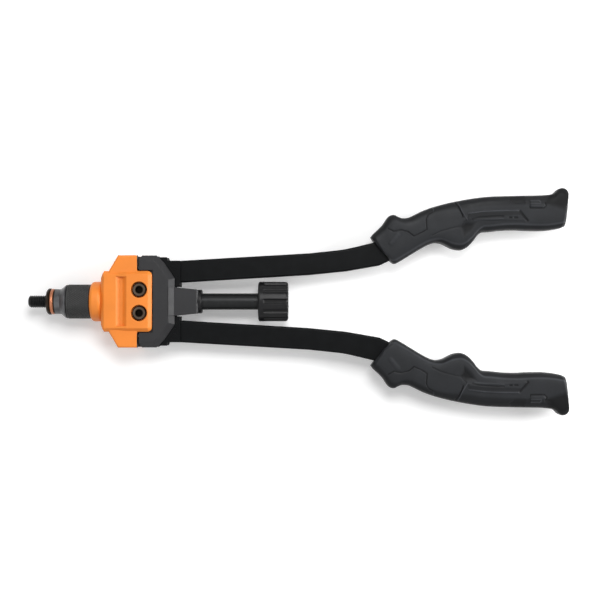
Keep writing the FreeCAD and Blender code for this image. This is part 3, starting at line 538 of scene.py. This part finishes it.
def grip_skin(side, rows=470, steps=200):
    """A grip's surface and painted light. Row i joins the same share of the outer and inner edge,
    and step j runs round the rounded-square section between the two. Both ends close over a
    rounding."""
    share = np.linspace(0.0, 1.0, rows)
    outer, inner = smooth_edge(GRIP_OUTER, share), smooth_edge(GRIP_INNER, share)
    across, up = grip_section(steps)
    middle, half = (outer + inner) / 2, (outer - inner) / 2
    shrink = 1 - 0.16 * ramp(0.016 - share, 0.0, 0.016) - 0.2 * ramp(share - 0.98, 0.0, 0.02)
    shrink = shrink[:, None]
    u = middle[:, 0:1] + half[:, 0:1] * across * (0.7 + shrink * 0.3)
    v = middle[:, 1:2] + half[:, 1:2] * across * (0.7 + shrink * 0.3)
    width = np.linalg.norm(half, axis=1)[:, None] * 2
    height, painted_light = grip_relief(u, v, width * (1 - across) / 2, width * (1 + across) / 2)
    return np.stack([u, side * v, up * height * shrink], axis=-1), painted_light


def make_grip(arm, side, material):
    """One arm's grip, on the side of the tool line that 1 or -1 says."""
    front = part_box(arm + "_grip")[0][0]
    points, painted_light = grip_skin(side)
    points = points * MM + np.array([front, LINE_Y, LINE_Z])
    piece(arm + "_grip_moulding", points, material,
          arm + "_arm", arm + "_grip", painted_light=painted_light)


# --- Finishes and pieces ---------------------------------------------------------------------
finishes = {
    "housing_orange": lacquered("orange_paint", (0.8, 0.232, 0.03), 0.9 * MM, WING_REAR, 30.2 * MM),
    "cover_grey": moulded(
        "cover_plastic", (0.012, 0.012, 0.0135), 0.5 * MM, 0.04 * MM, 0.36, 0.6 * MM, 0.3),
    "grip_plastic": moulded(
        "grip_plastic", (0.017, 0.018, 0.02), 0.45 * MM, 0.06 * MM, 0.42, 0.0, 0.12),
    "black_plastic": moulded(
        "knob_plastic", (0.004, 0.004, 0.0045), 0.5 * MM, 0.03 * MM, 0.3, 0.3 * MM, 0.2),
    "dark_steel": metal("dark_steel", (0.023, 0.017, 0.013), 0.34, (1, 1, 6), 0.2 * MM),
    "black_steel": metal(
        "blacked_steel", (0.003, 0.0034, 0.0038), 0.36, (0.2, 1, 1), 0.5 * MM, 0.0, 0.07),
    "gunmetal": metal("gunmetal", (0.085, 0.085, 0.088), 0.26, (8, 1, 1), 0.2 * MM),
    "grey_steel": metal("grey_steel", (0.36, 0.36, 0.36), 0.34, (8, 1, 1), 0.2 * MM),
    "bright_steel": metal("bright_steel", (0.6, 0.6, 0.61), 0.25, (8, 1, 1), 0.2 * MM),
    "copper_ring": metal("copper_ring", (0.4, 0.15, 0.075), 0.3, (1, 1, 1), 0.0, 0.7),
    "bronze": metal("bronze", (0.55, 0.36, 0.16), 0.3, (8, 1, 1)),
}
screw_steel = metal("screw_steel", (0.075, 0.056, 0.042), 0.34, (1, 1, 6), 0.2 * MM, socket_shade=screw_socket_shade)
satin_tube = metal("satin_tube", (0.01, 0.0105, 0.011), 0.34, (0.2, 1, 1), 0.0, 0.7)
knurled_steel = metal("knurled_steel", (0.026, 0.026, 0.026), 0.42, (1, 1, 1), 0.0, 0.6)
for subpart in frame["record"]["subparts"]:
    node = frame["nodes"][subpart["node"]]
    node.data.materials.clear()
    node.data.materials.append(finishes[subpart["material_slot"]])
# The tube and the screws have finishes of their own within their slots.
frame["nodes"]["draw_tube"].data.materials[0] = satin_tube
frame["nodes"]["pivot_screws"].data.materials[0] = screw_steel
make_mandrel(satin_tube)
make_sleeve(knurled_steel)
make_knob(finishes["black_plastic"])
make_grip("upper", 1, finishes["grip_plastic"])
make_grip("lower", -1, finishes["grip_plastic"])


# --- Floor, light and camera -------------------------------------------------------------------
def make_floor():
    """A plain pale floor that takes shadow. The camera and mirror rays see it brighter, and quite
    white far from the tool."""
    size = 6 * LENGTH
    mesh = bpy.data.meshes.new("floor")
    corners = [(x * size, y * size, FLOOR_Z) for x, y in ((-1, -1), (1, -1), (1, 1), (-1, 1))]
    mesh.from_pydata(corners, [], [(0, 1, 2, 3)])
    finish = Finish("floor_white")
    base = finish.mixed(finish.noise(400 * MM), (0.88, 0.88, 0.88, 1), (0.9, 0.9, 0.9, 1))
    away = finish.node("ShaderNodeVectorMath", {"operation": "LENGTH"}, {
        0: finish.coordinates}, "Value")
    glow = finish.seen() * (0.23 + 0.77 * away.between(0.8 * LENGTH, 2.6 * LENGTH))
    shine = finish.mixed(glow, (0, 0, 0, 1), (1, 1, 1, 1))
    mesh.materials.append(finish.surface({
        "Base Color": base, "Roughness": 0.8, "Specular IOR Level": 0.1,
        "Emission Color": shine, "Emission Strength": 1.0}))
    floor = bpy.data.objects.new("floor", mesh)
    bpy.context.scene.collection.objects.link(floor)


def make_lamp(name, place, target, size, watts):
    """A square soft box at a place, aimed at a target."""
    light = bpy.data.lights.new(name, "AREA")
    light.shape = "SQUARE"
    light.size = size
    light.energy = watts
    lamp = bpy.data.objects.new(name, light)
    lamp.location = place
    lamp.rotation_euler = (target - place).to_track_quat("-Z", "Y").to_euler()
    bpy.context.scene.collection.objects.link(lamp)


def make_world():
    """Even pale light from all round, seen as white."""
    world = bpy.data.worlds.new("studio")
    world.use_nodes = True
    studio = Tree(world.node_tree)
    background = studio.tree.nodes["Background"]
    background.inputs["Color"].default_value = (1.0, 1.0, 1.0, 1.0)
    strength = 0.36 + 0.64 * studio.seen()
    studio.tree.links.new(strength.socket, background.inputs["Strength"])
    bpy.context.scene.world = world


def make_camera():
    """A camera nearly straight above the middle of the tool."""
    elevation = math.radians(89.3)
    distance = 2.02 * LENGTH
    shift, seen_width = 0.0015, 0.581
    target = Vector(((low.x + high.x) / 2 + shift, LINE_Y + shift, LINE_Z))
    data = bpy.data.cameras.new("camera")
    data.sensor_width = 36.0
    data.angle = 2 * math.atan(0.5 * seen_width / distance)
    data.clip_start = 0.01
    camera = bpy.data.objects.new("camera", data)
    camera.location = target + distance * Vector((0.0, -math.cos(elevation), math.sin(elevation)))
    camera.rotation_euler = (target - camera.location).to_track_quat("-Z", "Y").to_euler()
    bpy.context.scene.collection.objects.link(camera)
    bpy.context.scene.camera = camera


make_floor()
middle = (low + high) / 2
make_lamp("key", middle + Vector((0.15, 0.65, 1.25)), middle, 0.6, 12.5)
make_lamp("side", middle + Vector((1.0, 0.1, 0.4)), middle, 0.5, 9.5)
make_lamp("fill", middle + Vector((-0.6, -0.7, 1.4)), middle, 1.4, 4)
make_world()
make_camera()
bpy.context.scene.view_settings.view_transform = "Standard"
